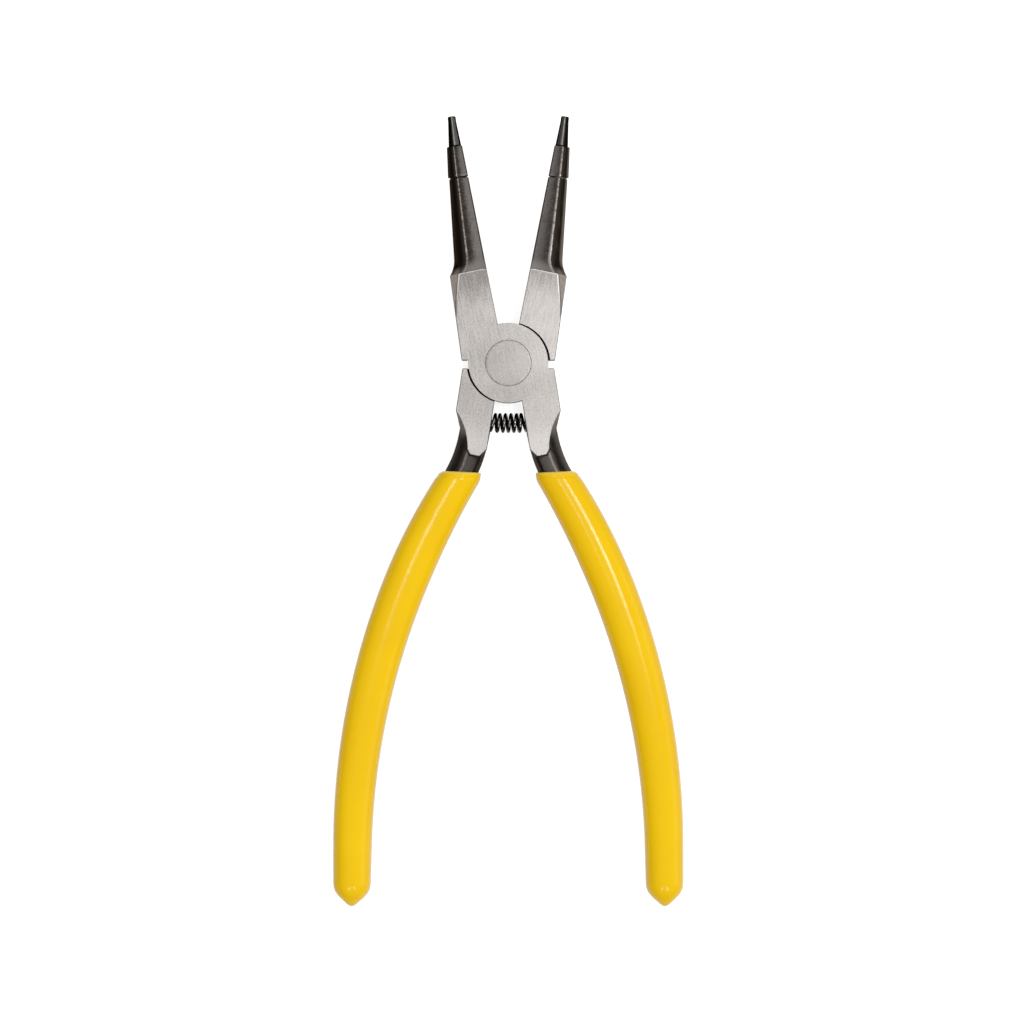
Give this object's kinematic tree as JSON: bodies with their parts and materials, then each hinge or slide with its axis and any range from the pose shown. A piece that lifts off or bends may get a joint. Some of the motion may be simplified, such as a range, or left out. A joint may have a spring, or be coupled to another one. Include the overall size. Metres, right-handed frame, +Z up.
{
  "type": "circlip pliers",
  "caption": "Straight internal circlip pliers with a half-lap riveted joint, slim noses with pin tips, a return coil spring and yellow dipped grips.",
  "frame": {"origin": "on the pivot axis, on the back face of the joint, which is the plane the pliers lie on", "axes": "+Y from the pivot towards the jaw tips, +X to the right, +Z up out of the face that the picture shows"},
  "size_m": [0.0798, 0.1801, 0.01],
  "materials": {
    "ground_steel": "ground faces, black oxide elsewhere",
    "black_steel": "satin black oxide",
    "spring_steel": "blackened wire",
    "yellow_dip": "smooth gloss dip"
  },
  "bodies": {
    "front_half": {"front_lever": "ground_steel", "pivot_rivet": "ground_steel", "left_tip_collar": "black_steel", "left_tip_pin": "black_steel", "right_grip": "yellow_dip", "return_spring": "spring_steel"},
    "rear_half": {"rear_lever": "ground_steel", "right_tip_collar": "black_steel", "right_tip_pin": "black_steel", "left_grip": "yellow_dip"}
  },
  "joints": [
    {"name": "pivot", "type": "hinge", "parent": "front_half", "child": "rear_half", "pos_m": [0, 0, 0], "axis": [0, 0, 1], "range_deg": [-10, 22.5], "stiffness_Nm_per_rad": 0.9, "deforming": ["return_spring"]}
  ]
}
